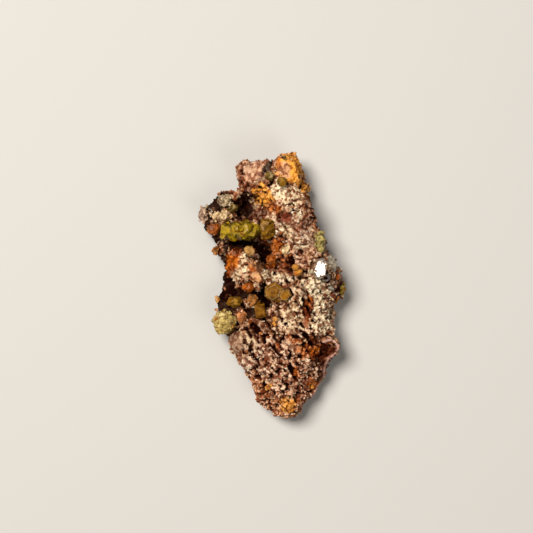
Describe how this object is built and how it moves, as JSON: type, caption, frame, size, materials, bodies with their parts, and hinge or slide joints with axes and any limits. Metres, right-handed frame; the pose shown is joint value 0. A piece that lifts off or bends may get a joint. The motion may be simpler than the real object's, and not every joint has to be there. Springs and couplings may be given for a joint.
{
  "type": "adamite specimen",
  "caption": "Elongated lump of vuggy limonite lying on a flat back, with clusters of blocky yellow-green and olive adamite crystals in its hollows.",
  "frame": {"origin": "middle of the object's box, on the flat back that it lies on", "axes": "+Y along the length towards the end with the two small crystal balls, +Z up out of the crystal-bearing face, +X to the right when that face is seen with +Y up"},
  "size_m": [0.0445, 0.0805, 0.0223],
  "materials": {
    "limonite": "rough granular iron-oxide rock, pinkish tan to rust brown",
    "yellow_adamite": "translucent yellow-green crystal, glassy faces",
    "olive_adamite": "translucent olive crystal, glassy faces",
    "amber_adamite": "translucent iron-stained amber crystal",
    "pale_adamite": "cream crystal, satin, nearly opaque",
    "clear_adamite": "colourless glassy crystal with a mirror-bright face"
  },
  "bodies": {
    "root": {"limonite_matrix": "limonite", "adamite_band": "yellow_adamite", "adamite_ball": "yellow_adamite", "yellow_prism": "yellow_adamite", "edge_tip": "yellow_adamite", "adamite_pair": "olive_adamite", "olive_crystals": "olive_adamite", "olive_cluster": "olive_adamite", "olive_bead": "olive_adamite", "olive_band_end": "olive_adamite", "edge_adamite": "olive_adamite", "amber_crystals": "amber_adamite", "amber_band_end": "amber_adamite", "amber_chip": "amber_adamite", "centre_amber": "amber_adamite", "golden_prism": "amber_adamite", "brown_sprig": "amber_adamite", "brown_cluster": "amber_adamite", "rust_cluster": "amber_adamite", "brown_bead": "amber_adamite", "orange_bead": "amber_adamite", "white_cluster": "pale_adamite", "cream_cluster": "pale_adamite", "cream_yellow_cluster": "pale_adamite", "grey_green_cluster": "pale_adamite", "beige_crystals": "pale_adamite", "clear_crystal": "clear_adamite", "glassy_edge": "clear_adamite"}
  },
  "joints": []
}
